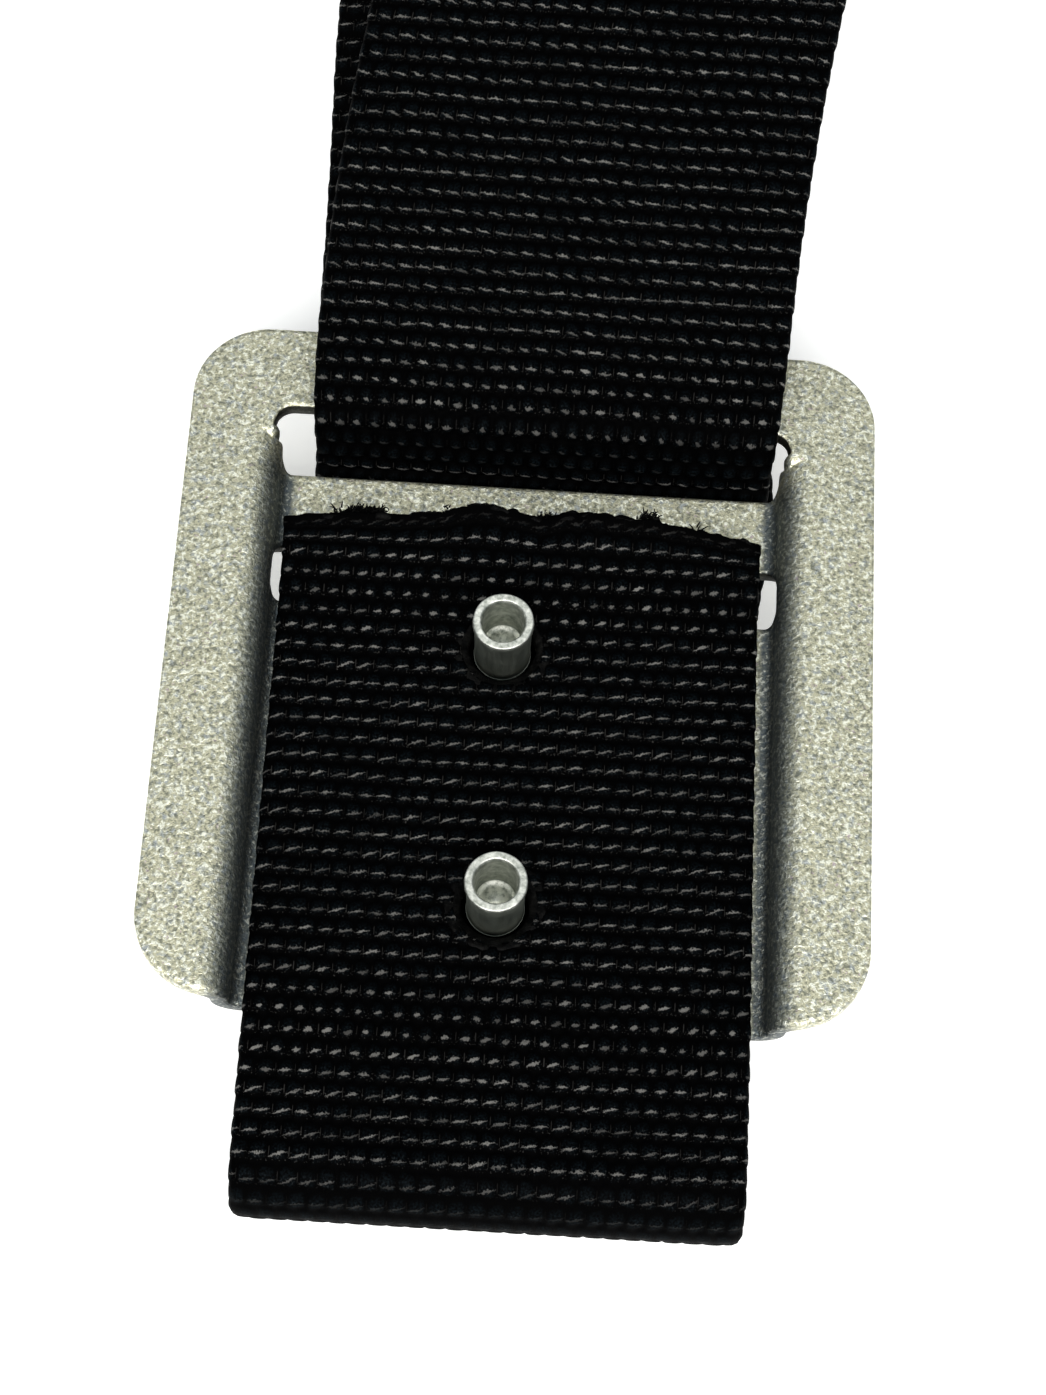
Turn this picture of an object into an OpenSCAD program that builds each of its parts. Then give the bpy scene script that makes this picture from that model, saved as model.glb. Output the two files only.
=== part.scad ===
// Dive weight belt: pressed steel buckle plate, two tubular studs and one length of 50 mm webbing.
// The belt is closed and stored: folded double, with the spare length rolled up from its far fold.
// Frame: +X across the belt, +Y along it towards the roll, +Z away from the face it rests on.
// Origin: on the resting face, under the middle of the buckle plate. Millimetres.

/* [Buckle plate] */
// Width across the two side flanges
plate_w = 72.4; // [71:0.2:76]
// Length from the bottom edge to the top edge
plate_l = 73.8; // [72:0.2:78]
// Thickness of the steel sheet
sheet_t = 2; // [1.6:0.1:2.2]
// Radius of the four outer corners
corner_r = 8; // [5:0.5:10]
// Depth of the strap channel below the side flanges
channel_d = 4.4; // [4:0.1:5]
// Width of the flat floor of the strap channel
floor_w = 50.6; // [50.4:0.1:51.5]
// Distance over which each channel wall climbs to its flange
wall_run = 4.2; // [3.8:0.1:4.6]

/* [Plate slots] */
// Height of the bar across the top edge
top_bar_h = 9.2; // [8:0.1:10]
// Height of the upper slot, which the belt passes through
upper_slot_h = 5.9; // [5.8:0.1:6.5]
// Height of the bar between the two slots
mid_bar_h = 8.4; // [7:0.1:8.5]
// Height of the lower slot, which lies under the tail
lower_slot_h = 6.4; // [5:0.1:7]
// Length of both slots
slot_w = 54.6; // [53:0.2:55]
// Corner radius of both slots
slot_r = 2; // [1:0.1:2.8]

/* [Studs] */
// Outside diameter of the tubular shank
stud_d = 6.1; // [5.8:0.1:6.1]
// Diameter of the stouter foot, which fills the plate's hole and ends level with its upper face
stud_foot_d = 7.4; // [7:0.1:7.6]
// Diameter of the blind bore in the shank
stud_bore_d = 4.25; // [3.5:0.05:4.6]
// Depth of the straight part of the bore
stud_bore_h = 5.4; // [4:0.1:7]
// Height of the shank above the tail's outer face
stud_proud = 5.8; // [4:0.1:7]
// Diameter of the low domed head
head_d = 12; // [10:0.5:14]
// Thickness of the head
head_h = 1.8; // [1.4:0.1:2]
// Outside diameter of the washer between the head and the webbing
washer_d = 14; // [12:0.5:16]
// Thickness of the washer
washer_t = 0.8; // [0.6:0.1:0.9]
// Distance of the upper stud from the plate's middle, along the belt
upper_stud_y = 2.4; // [1:0.1:2.8]
// Distance between the two studs
stud_pitch = 27.7; // [26:0.1:29]
// Sideways place of the upper stud, which is set a little off the middle
upper_stud_x = -1.8; // [-2:0.1:2]
// Sideways place of the lower stud
lower_stud_x = -0.9; // [-2:0.1:2]

/* [Webbing] */
// Width of the webbing
belt_w = 50; // [49:0.1:50]
// Thickness of the webbing
belt_t = 2.4; // [2.2:0.1:2.4]
// Diameter of the melted holes in the tail
tail_hole_d = 8.4; // [8.2:0.1:9]
// Distance the fold stands out beyond the plate's bottom edge
fold_out = 20; // [18:0.1:24]
// Distance from the tail's cut end to the plate's top edge
tail_end_gap = 20.7; // [19.5:0.1:22]

/* [Roll] */
// Radius of the roll's outermost turn, at the middle of the webbing
roll_r = 28; // [27.5:0.1:28.5]
// Turns of doubled webbing in the roll
roll_turns = 3.75; // [2:0.25:3.75]

/* [Hidden] */
$fn = 64;
gap = 0.3;
seat = 0.05;

steel = [0.72, 0.73, 0.67];
zinc = [0.82, 0.85, 0.83];
black_nylon = [0.05, 0.055, 0.065];

// Heights, built up from the face that the belt rests on
head_z = belt_t + gap;
washer_z = head_z + head_h;
front_z = washer_z + washer_t + seat;
floor_z = front_z + belt_t + seat;
tail_z = floor_z + sheet_t + 2 * seat;
flange_z = floor_z + channel_d;
stud_top_z = tail_z + belt_t + stud_proud;

// Edges of the bars and slots along Y
top_y = plate_l / 2;
upper_slot_top = top_y - top_bar_h;
upper_slot_y = upper_slot_top - upper_slot_h / 2;
mid_bar_top = upper_slot_top - upper_slot_h;
lower_slot_y = mid_bar_top - mid_bar_h - lower_slot_h / 2;
lower_stud_y = upper_stud_y - stud_pitch;
upper_hole_y = upper_stud_y - 0.3;
lower_hole_y = lower_stud_y - 0.3;

// The S-bend of a channel wall: two equal arcs through half the depth each
bend_angle = 2 * atan(channel_d / wall_run);
bend_r = channel_d / (2 * (1 - cos(bend_angle)));
bend_steps = 6;
bar_lap = 0.6;
wall_foot_x = floor_w / 2;

function foot_arc(a) = [wall_foot_x + bend_r * sin(a), bend_r * (1 - cos(a))];
function brow_arc(a) =
    [wall_foot_x + wall_run - bend_r * sin(a), channel_d - bend_r * (1 - cos(a))];

// Middle line of the sheet from the channel's centre out to the flange's edge
half_section = concat(
    [[0, 0]],
    [for (i = [0 : bend_steps]) foot_arc(bend_angle * i / bend_steps)],
    [for (i = [bend_steps - 1 : -1 : 0]) brow_arc(bend_angle * i / bend_steps)],
    [[plate_w / 2 + 1, channel_d]]
);
section_line = concat(
    [for (i = [len(half_section) - 1 : -1 : 1]) [-half_section[i][0], half_section[i][1]]],
    half_section
);

// A ribbon of thickness t that follows a line of points
function unit(v) = v / norm(v);
function along(path, i) = unit(path[min(i + 1, len(path) - 1)] - path[max(i - 1, 0)]);
function beside(path, i, d) = path[i] + d * [-along(path, i)[1], along(path, i)[0]];
function ribbon(path, t) = concat(
    [for (i = [0 : len(path) - 1]) beside(path, i, t / 2)],
    [for (i = [len(path) - 1 : -1 : 0]) beside(path, i, -t / 2)]
);

// A smooth curve through a list of points, each span cut into the same number of steps
function span_point(a, b, c, d, u) =
    0.5 * (2 * b + (c - a) * u + (2 * a - 5 * b + 4 * c - d) * u * u + (3 * b - a - 3 * c + d) * u * u * u);
function curve(p, steps) = concat(
    [for (i = [0 : len(p) - 2], k = [0 : steps - 1])
        span_point(p[max(i - 1, 0)], p[i], p[i + 1], p[min(i + 2, len(p) - 1)], k / steps)],
    [p[len(p) - 1]]
);

// Belt path, as [Y, Z] points at the middle of the webbing
front_mid_z = front_z + belt_t / 2;
table_mid_z = belt_t / 2;
layer_pitch = belt_t + gap;
roll_pitch = 2 * layer_pitch;
roll_entry = 27;
roll_centre = [131, roll_r - roll_pitch * (180 + roll_entry) / 360 + belt_t / 2];
roll_end = 360 * roll_turns;
roll_step = 9;
eye_room = 1.7;
eye_turn = 120;

function outward(turn) = [-sin(roll_entry - turn), cos(roll_entry - turn)];
function forward(turn) = [cos(roll_entry - turn), sin(roll_entry - turn)];
function late(turn) = max(0, (turn - roll_end + eye_turn) / eye_turn);
function roll_point(turn, inset) = roll_centre + (roll_r - inset - roll_pitch * turn / 360) * outward(turn);

front_end = [for (y = [-33, -18, -3]) [y, front_mid_z]];
slot_rise = [
    [6, 6.55], [10.4, 6.5], [15.4, 5.2], [21.1, 5], [24.1, 8.2], [25.1, 11.8], [26.5, 15.2], [31.2, 17.1]
];
upper_run = [[40, 20], [50, 23.7], [60, 27.3], [71, 31.3], [84, 36.8], [100, 44.5]];
return_run = [[110.5, 43], [101, 36], [92, 27.6], [83, 19], [74, 11.6], [64, 5.8], [54, 2.4]];
turn_steps = [for (t = [0 : roll_step : roll_end]) t];
roll_in = [for (t = turn_steps) roll_point(t, 0)];
roll_out = [for (i = [len(turn_steps) - 1 : -1 : 0])
    roll_point(turn_steps[i], layer_pitch + eye_room * late(turn_steps[i]) * late(turn_steps[i]))];

// The far fold is a small eye at the core of the roll
fold_eye_r = (layer_pitch + eye_room) / 2;
far_fold = [for (a = [20 : 20 : 160])
    roll_point(roll_end, fold_eye_r)
        + fold_eye_r * (cos(a) * outward(roll_end) + sin(a) * forward(roll_end))];

// The near fold is half a ring between the return run and the tail
fold_mid_z = (tail_z + belt_t) / 2;
fold_r = fold_mid_z - belt_t / 2;
fold_y = -plate_l / 2 - fold_out + fold_r + belt_t / 2;
near_fold = [for (a = [0 : 10 : 180]) [fold_y - fold_r * sin(a), fold_mid_z - fold_r * cos(a)]];
split_y = -plate_l / 2 - 2;
belt_path = concat(
    curve(concat(front_end, slot_rise, upper_run, [roll_in[0]]), 6),
    [for (i = [1 : len(roll_in) - 1]) roll_in[i]],
    far_fold,
    [for (i = [0 : len(roll_out) - 2]) roll_out[i]],
    curve(concat([roll_out[len(roll_out) - 1]], return_run, [[44, table_mid_z], [30, table_mid_z]]), 6),
    near_fold,
    [[split_y, tail_z + belt_t / 2]]
);

// A flat rectangle with round corners
module rounded_rect(w, l, r) {
    square([w - 2 * r, l], center = true);
    square([w, l - 2 * r], center = true);
    for (x = [-1, 1], y = [-1, 1])
        translate([x * (w / 2 - r), y * (l / 2 - r)])
            circle(r);
}

// A [Y, Z] outline carried across the belt, from one edge to the other
module across(width) {
    rotate([90, 0, 90])
        linear_extrude(width, center = true)
            children();
}

module slot_cutter(y, h) {
    translate([0, y, floor_z - 1])
        linear_extrude(channel_d + sheet_t + 2)
            rounded_rect(slot_w, h, slot_r);
}

module channel_sheet() {
    translate([0, upper_slot_top, floor_z + sheet_t / 2])
        rotate([90, 0, 0])
            linear_extrude(upper_slot_top + top_y)
                polygon(ribbon(section_line, sheet_t));
}

module top_bar() {
    translate([-plate_w / 2 - 1, upper_slot_top - bar_lap, flange_z])
        cube([plate_w + 2, top_bar_h + bar_lap + 1, sheet_t]);
}

module at_studs() {
    translate([upper_stud_x, upper_stud_y])
        children();
    translate([lower_stud_x, lower_stud_y])
        children();
}

module buckle_plate() {
    color(steel)
        difference() {
            intersection() {
                union() {
                    channel_sheet();
                    top_bar();
                }
                translate([0, 0, floor_z - 1])
                    linear_extrude(channel_d + sheet_t + 2)
                        rounded_rect(plate_w, plate_l, corner_r);
            }
            slot_cutter(upper_slot_y, upper_slot_h);
            slot_cutter(lower_slot_y, lower_slot_h);
            at_studs()
                translate([0, 0, floor_z - 1])
                    cylinder(d = stud_foot_d + 2 * seat, h = sheet_t + 2);
        }
}

// Semi-tubular stud: low domed head, solid foot, blind bore with a drilled cone at its end
module stud() {
    rim = 0.3;
    bore_floor = stud_top_z - stud_bore_h;
    color(zinc)
        rotate_extrude()
            polygon([
                [0, head_z],
                [head_d * 0.3, head_z],
                [head_d / 2, head_z + head_h * 0.6],
                [head_d / 2, washer_z],
                [stud_foot_d / 2, washer_z],
                [stud_foot_d / 2, floor_z + sheet_t],
                [stud_d / 2, floor_z + sheet_t],
                [stud_d / 2, stud_top_z - rim],
                [stud_d / 2 - rim, stud_top_z],
                [stud_bore_d / 2, stud_top_z],
                [stud_bore_d / 2, bore_floor],
                [0, bore_floor - stud_bore_d * 0.3]
            ]);
}

module upper_stud() {
    translate([upper_stud_x, upper_stud_y])
        stud();
}

module lower_stud() {
    translate([lower_stud_x, lower_stud_y])
        stud();
}

module washer() {
    color(zinc)
        translate([0, 0, washer_z])
            difference() {
                cylinder(d = washer_d, h = washer_t);
                translate([0, 0, -1])
                    cylinder(d = stud_foot_d + 4 * seat, h = washer_t + 2);
            }
}

module upper_washer() {
    translate([upper_stud_x, upper_stud_y])
        washer();
}

module lower_washer() {
    translate([lower_stud_x, lower_stud_y])
        washer();
}

// One length of webbing: front end, upper run, roll, return run and near fold
module belt_webbing() {
    color(black_nylon)
        difference() {
            across(belt_w)
                polygon(ribbon(belt_path, belt_t));
            at_studs()
                translate([0, 0, front_z - seat / 2])
                    cylinder(d = stud_foot_d + 6 * seat, h = belt_t + seat);
        }
}

// The last stretch of the same webbing, which lifts off the studs
module belt_tail() {
    tail_l = top_y - tail_end_gap - split_y - gap;
    color(black_nylon)
        difference() {
            translate([-belt_w / 2, split_y + gap, tail_z])
                cube([belt_w, tail_l, belt_t]);
            for (p = [[upper_stud_x, upper_hole_y], [lower_stud_x, lower_hole_y]])
                translate([p[0], p[1], tail_z - 1])
                    cylinder(d = tail_hole_d, h = belt_t + 2);
        }
}

buckle_plate();
upper_stud();
lower_stud();
upper_washer();
lower_washer();
belt_webbing();
belt_tail();
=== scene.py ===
# %% [markdown]
# # A dive weight belt, closed and stored
# The belt is one length of heavy black nylon webbing, a pressed steel buckle plate and two tubular
# studs. The tail is hooked over the studs, and the spare length is rolled up beyond the plate. Shapes
# are worked out in millimetres and handed to Blender in metres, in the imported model's frame: +X runs
# across the belt, +Y along it towards the roll, +Z away from the face that it rests on.

import math

import bpy
import numpy as np
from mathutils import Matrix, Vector


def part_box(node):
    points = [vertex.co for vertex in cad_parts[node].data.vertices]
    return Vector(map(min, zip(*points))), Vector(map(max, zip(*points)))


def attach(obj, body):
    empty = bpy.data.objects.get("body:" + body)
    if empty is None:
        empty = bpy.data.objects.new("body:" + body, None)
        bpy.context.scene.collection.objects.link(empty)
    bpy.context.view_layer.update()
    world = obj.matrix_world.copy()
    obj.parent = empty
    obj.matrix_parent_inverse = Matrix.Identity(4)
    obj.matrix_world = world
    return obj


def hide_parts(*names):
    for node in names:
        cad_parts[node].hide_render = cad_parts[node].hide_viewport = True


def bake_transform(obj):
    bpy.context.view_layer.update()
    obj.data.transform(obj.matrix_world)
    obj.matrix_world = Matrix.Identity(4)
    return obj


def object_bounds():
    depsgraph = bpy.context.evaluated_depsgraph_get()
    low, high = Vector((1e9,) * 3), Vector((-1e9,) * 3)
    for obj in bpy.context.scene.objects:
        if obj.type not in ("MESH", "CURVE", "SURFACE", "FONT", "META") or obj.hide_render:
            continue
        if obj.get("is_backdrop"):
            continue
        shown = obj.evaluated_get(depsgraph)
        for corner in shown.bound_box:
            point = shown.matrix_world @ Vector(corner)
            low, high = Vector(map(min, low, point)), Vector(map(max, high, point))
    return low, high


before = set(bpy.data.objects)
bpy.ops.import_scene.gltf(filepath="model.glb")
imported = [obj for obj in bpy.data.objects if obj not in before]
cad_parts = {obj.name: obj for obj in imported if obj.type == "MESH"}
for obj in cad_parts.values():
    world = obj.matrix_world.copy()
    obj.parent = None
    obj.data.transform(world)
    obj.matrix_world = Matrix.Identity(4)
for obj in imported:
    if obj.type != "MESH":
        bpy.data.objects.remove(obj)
cad_low, cad_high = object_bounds()
MM = 0.001


def corners_mm(node):
    """The lowest and highest corners of a CAD node, in millimetres."""
    low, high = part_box(node)
    return np.array(low) / MM, np.array(high) / MM


print("nodes:", ", ".join(sorted(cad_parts)))
print("CAD box, mm:", np.round((np.array(cad_high) - np.array(cad_low)) / MM, 1))

# %% [markdown]
# ## Sizes that the pieces share
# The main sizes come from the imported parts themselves, so the new surfaces sit where the parts do:
# the webbing's width and thickness from the tail, the plate's levels and size from the plate, the
# studs' places from the studs. The belt's path, the slots and the finer shapes are stated as numbers,
# each where it is first needed.

# %% Read the shared sizes from the frame
plate_low, plate_high = corners_mm("buckle_plate")
tail_low, tail_high = corners_mm("belt_tail")
belt_low = corners_mm("belt_webbing")[0]
stud_boxes = {name: corners_mm(name) for name in ("upper_stud", "lower_stud")}
washer_boxes = {name: corners_mm(name) for name in ("upper_washer", "lower_washer")}

BELT_W = tail_high[0] - tail_low[0]
BELT_T = tail_high[2] - tail_low[2]
SHEET_T = 2.0
FLOOR_Z = plate_low[2]
FLANGE_Z = plate_high[2] - SHEET_T
PLATE_W = plate_high[0] - plate_low[0]
PLATE_L = plate_high[1] - plate_low[1]
TABLE_MID_Z = BELT_T / 2
WASHER_GAP = 0.05
FRONT_MID_Z = washer_boxes["upper_washer"][1][2] + WASHER_GAP + BELT_T / 2

print(f"webbing {BELT_W:.1f} x {BELT_T:.2f} mm, plate {PLATE_W:.1f} x {PLATE_L:.1f} mm")

# %% [markdown]
# ## Arrays into meshes
# Every shape below is worked out as whole numpy arrays of points and of faces that index them. One
# helper hands the arrays to Blender. A grid of points becomes a grid of four-cornered faces, wrapped
# round on itself where the shape closes, and a flat end is a fan of triangles about its middle.

# %% Helpers that turn arrays into mesh objects
def grid_faces(rows, columns, wrap=False):
    """Quads between neighbouring points of a grid; wrap joins the last column to the first."""
    i = np.arange(rows - 1)[:, None]
    j = np.arange(columns if wrap else columns - 1)[None, :]
    k = (j + 1) % columns
    quads = np.stack([i * columns + j, i * columns + k, (i + 1) * columns + k, (i + 1) * columns + j], -1)
    return quads.reshape(-1, 4)


def ring_cap(ring, centre, flip=False):
    """A fan of triangles from the point with index centre to each pair of neighbours in a ring."""
    ring = np.asarray(ring)
    nxt = np.roll(ring, -1)
    a, b = (nxt, ring) if flip else (ring, nxt)
    return np.stack([a, b, np.full(len(ring), centre)], -1)


def mesh_object(name, points, quads, fans=(), uv=None, values=None):
    """One mesh object from points in millimetres, with a UV pair and named numbers kept per point.

    Points that no face uses are left out. The signed volume is the sum, over the triangles, of one corner's
    dot product with the cross product of the other two. If it is negative the faces look inward, and all
    of them are turned over. On a piece with a UV map the edges round each fan are marked sharp, so that a
    flat end doesn't bend the shading of the side that it closes.
    """
    points, used = np.asarray(points, float), np.zeros(len(points), bool)
    for block in (quads, *fans):
        used[block.ravel()] = True
    number = np.cumsum(used) - 1
    points, quads, fans = points[used], number[quads], [number[fan] for fan in fans]
    uv = None if uv is None else np.asarray(uv)[used]
    values = {label: np.asarray(numbers)[used] for label, numbers in (values or {}).items()}
    rings = [fan[:, :2].ravel() for fan in fans]
    corners = [block[:, [0, k, k + 1]] for block in (quads, *fans) for k in range(1, block.shape[1] - 1)]
    a, b, c = (points[np.vstack(corners)[:, k]] for k in range(3))
    signed_volume = (a * np.cross(b, c)).sum()
    if signed_volume < -1e-6:
        quads, fans = quads[:, ::-1], [fan[:, ::-1] for fan in fans]
    faces = quads.tolist()
    for fan in fans:
        faces += fan.tolist()
    mesh = bpy.data.meshes.new(name)
    mesh.from_pydata((points * MM).tolist(), [], faces)
    mesh.polygons.foreach_set("use_smooth", np.ones(len(mesh.polygons), bool))
    loop_points = np.zeros(len(mesh.loops), np.int32)
    mesh.loops.foreach_get("vertex_index", loop_points)
    if uv is not None:
        layer = mesh.uv_layers.new(name="UVMap")
        layer.data.foreach_set("uv", uv[loop_points].astype(np.float32).ravel())
    for label, numbers in values.items():
        layer = mesh.attributes.new(label, "FLOAT", "POINT")
        layer.data.foreach_set("value", np.asarray(numbers, np.float32))
    if fans and uv is not None:
        ring = np.zeros(len(points), bool)
        ring[np.concatenate(rings)] = True
        ends = np.zeros(len(mesh.edges) * 2, np.int32)
        mesh.edges.foreach_get("vertices", ends)
        sharp = mesh.attributes.new("sharp_edge", "BOOLEAN", "EDGE")
        sharp.data.foreach_set("value", ring[ends.reshape(-1, 2)].all(1))
    mesh.update()
    piece = bpy.data.objects.new(name, mesh)
    bpy.context.scene.collection.objects.link(piece)
    triangles = sum(len(face) - 2 for face in faces)
    print(f"{name}: {len(points)} points, {triangles} triangles")
    return piece


# %% [markdown]
# ## Repeatable unevenness
# Woven nylon and melted edges are never quite even. The unevenness comes from a hash of whole
# numbers, so each run draws the same values, and a smooth version blends between them.

# %% Hash and smooth drift
def lattice(i, j, seed):
    """A number from 0 to 1 for each pair of whole numbers: the fraction of a large multiple of a sine."""
    return np.modf(np.abs(np.sin(i * 127.1 + j * 311.7 + seed * 74.7) * 43758.5453))[0]


def drift(a, b, seed):
    """Smooth noise from -1 to 1: the hashed corners of each unit cell, blended with an S-curve both ways."""
    i, j = np.floor(a), np.floor(b)
    p, q = a - i, b - j
    p, q = p * p * (3 - 2 * p), q * q * (3 - 2 * q)
    low = lattice(i, j, seed) * (1 - p) + lattice(i + 1, j, seed) * p
    high = lattice(i, j + 1, seed) * (1 - p) + lattice(i + 1, j + 1, seed) * p
    return 2 * (low * (1 - q) + high * q) - 1


def ramp(x, low, high):
    """0 below low, 1 above high, and an S-curve between."""
    t = np.clip((x - low) / (high - low), 0, 1)
    return t * t * (3 - 2 * t)


print("drift along a line:", np.round(drift(np.linspace(0, 2, 5), 0.3, 1), 2))

# %% [markdown]
# ## The line that the webbing follows
# The belt is folded double: it starts under the plate, comes up through the upper slot, runs to the
# roll, winds in to an eye at the roll's core, winds out again, runs back under the plate, folds up
# and ends as the tail over the studs. It could be a curve with a bevel, but a flat strap on a curve
# twists, and a weave needs a surface. So the line is an array of [Y, Z] points with its length
# measured along it, and a strap is laid on it afterwards.

# %% Work out the belt's line
def smooth_line(knots, steps=16):
    """A curve through every knot: spans of cubics, whose slope at a knot is half its neighbours' chord."""
    p = np.array(knots, float)
    a, b, c, d = p[np.r_[0, 0 : len(p) - 2]], p[:-1], p[1:], p[np.r_[2 : len(p), len(p) - 1]]
    u = (np.arange(steps) / steps)[None, :, None]
    a, b, c, d = (q[:, None] for q in (a, b, c, d))
    line = 0.5 * (2 * b + (c - a) * u + (2 * a - 5 * b + 4 * c - d) * u**2 + (3 * b - a - 3 * c + d) * u**3)
    return np.vstack([line.reshape(-1, 2), p[-1]])


LAYER_GAP = 0.3
LAYER_PITCH = BELT_T + LAYER_GAP
ROLL_R = 28.0
ROLL_ENTRY = math.radians(27)
ROLL_TURNS = 3.75
EYE_ROOM = 1.7
EYE_TURN = math.radians(120)
ROLL_Y = 131.0
ROLL_Z = ROLL_R - 2 * LAYER_PITCH * (math.pi + ROLL_ENTRY) / math.tau + BELT_T / 2
ROLL_CENTRE = np.array([ROLL_Y, ROLL_Z])


def outward(turn):
    """The direction from the roll's centre to its webbing after turning by an angle."""
    return np.stack([-np.sin(ROLL_ENTRY - turn), np.cos(ROLL_ENTRY - turn)], -1)


def coil(turn, inset):
    """A spiral: the radius falls by two layers a turn, less a further inset."""
    radius = ROLL_R - inset - 2 * LAYER_PITCH * turn / math.tau
    return ROLL_CENTRE + radius[:, None] * outward(turn)


last = ROLL_TURNS * math.tau
turns = np.linspace(0, last, 451)
roll_in = coil(turns, 0)
late = np.clip((turns - last + EYE_TURN) / EYE_TURN, 0, 1)
roll_out = coil(turns, LAYER_PITCH + EYE_ROOM * late**2)[::-1]
eye_r = (LAYER_PITCH + EYE_ROOM) / 2
eye_angle = np.radians(np.arange(8, 180, 8))[:, None]
eye_forward = np.array([math.cos(ROLL_ENTRY - last), math.sin(ROLL_ENTRY - last)])
eye_middle = coil(np.array([last]), eye_r)[0]
eye = eye_middle + eye_r * (np.cos(eye_angle) * outward(last) + np.sin(eye_angle) * eye_forward)

front_knots = [[-33, FRONT_MID_Z], [-18, FRONT_MID_Z], [-3, FRONT_MID_Z]]
slot_knots = [[6, 6.55], [10.4, 6.5], [15.4, 5.2], [21.1, 5], [24.1, 8.2], [25.1, 11.8]]
slot_knots += [[26.5, 15.2], [31.2, 17.1]]
upper_knots = [[40, 20], [50, 23.7], [60, 27.3], [71, 31.3], [84, 36.8], [100, 44.5]]
return_knots = [[110.5, 43], [101, 36], [92, 27.6], [83, 19], [74, 11.6], [64, 5.8]]
return_knots += [[54, 2.4], [44, 1.2], [30, 1.2]]
FOLD_R = 4.62
FOLD_Y = belt_low[1] + BELT_T / 2 + FOLD_R
fold_angle = np.radians(np.arange(0, 181, 4))
fold = np.stack([FOLD_Y - FOLD_R * np.sin(fold_angle), TABLE_MID_Z + FOLD_R * (1 - np.cos(fold_angle))], -1)
TAIL_END_Y = tail_high[1]
tail_knots = [fold[-1], [-45.5, 10.62], [-39.5, 11.0], [-33, 11.12], [-20, 11.12], [-6, 11.12], [2, 11.15]]
tail_knots += [[7, 11.5], [11.5, 12.35], [TAIL_END_Y, 13.7]]

front_line = smooth_line(front_knots + slot_knots + upper_knots + [roll_in[0]])
line = np.vstack(
    [
        front_line,
        roll_in[1:],
        eye,
        roll_out[:-1],
        smooth_line([roll_out[-1]] + return_knots),
        np.linspace([30, TABLE_MID_Z], fold[0], 40)[1:],
        fold[1:],
        smooth_line(tail_knots)[1:],
    ]
)
line_s = np.r_[0, np.cumsum(np.linalg.norm(np.diff(line, axis=0), axis=1))]
print(f"webbing length {line_s[-1]:.0f} mm")

# %% Marks along the line, on whole weave rows
ROW_PITCH = 2.04
COLUMNS = 26
COLUMN_PITCH = BELT_W / COLUMNS


def mark(y, after, before, whole=True):
    """The length, between two others, where the line is nearest to a Y; rounded to a whole row if whole."""
    inside = np.where((line_s > after) & (line_s < before))[0]
    s = line_s[inside[np.argmin(np.abs(line[inside, 0] - y))]]
    return round(s / ROW_PITCH) * ROW_PITCH if whole else s


s_roll = line_s[len(front_line) - 1]
s_slot = mark(24.5, 0, s_roll)
s_view = mark(98, 0, s_roll)
s_turned = mark(ROLL_CENTRE[0] - 20, s_roll + 140, s_roll + 190)
s_return = mark(112, line_s[-1] - 330, line_s[-1] - 120)
s_under = mark(-38, line_s[-1] - 130, line_s[-1] - 70)
s_over = mark(FOLD_Y - FOLD_R * 0.87, line_s[-1] - 95, line_s[-1] - 73.5)
s_end = line_s[-1]
s_tip = mark(FOLD_Y - FOLD_R, s_under, s_end, whole=False)
marks = (s_slot, s_view, s_roll, s_turned, s_return, s_under, s_over, s_end)
print("marks, mm:", np.round(marks, 1))

# %% [markdown]
# ## The weave as a relief
# Weight-belt webbing is a heavy plain weave: ribs across the belt about 2 mm apart, each broken into
# short floats, and every second rib is set half a float to one side, like brickwork. A bump map alone
# would leave the edges straight and the grooves shallow, so the floats are real relief. Each float is
# a small pillow that is steep on the side nearer the start and slopes away behind. Where the strap
# is bent or pulled the floats round off into dots, which a changing exponent gives.

# %% The relief of one weave
DOT_ZONES = ((s_slot + 7, 7.5), (s_end - 55, 5.5), (s_end - 9, 4.0))


def dotted(s):
    """1 where bending or pulling has rounded the floats into dots, 0 elsewhere."""
    return np.clip(sum(np.exp(-(((s - at) / spread) ** 2)) for at, spread in DOT_ZONES), 0, 1)


def painted_sheen_strength(s):
    """How strong the painted highlight on the floats is, 0 to 1.

    It is painted weak below the slot, at the melted end and round the near fold, and stronger for a short way
    where the strap crosses the slot's edge.
    """
    at_slot = ramp(s, s_slot - 6, s_slot + 0.2) * (1 - ramp(s, s_slot + 1.4, s_slot + 2.4))
    dull = 1 - ramp(s, s_slot + 4, s_slot + 9) * (1 - ramp(s, s_end - 2.2, s_end - 0.8))
    at_fold = np.exp(-(((s - s_tip - 1.2) / 4.2) ** 4))
    return np.clip(1 - 0.93 * dull + 0.6 * at_slot - 0.9 * at_fold, 0, 1)


def weave_place(s, across, seed=3):
    """Columns and rows counted over the webbing, both wandering a little, as the yarns do."""
    v = s / ROW_PITCH + 0.05 * drift(across / 9, s / 14, seed + 1)
    u = across / COLUMN_PITCH + 0.06 * drift(s / 7, across / 6, seed + 2)
    return u, v


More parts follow.
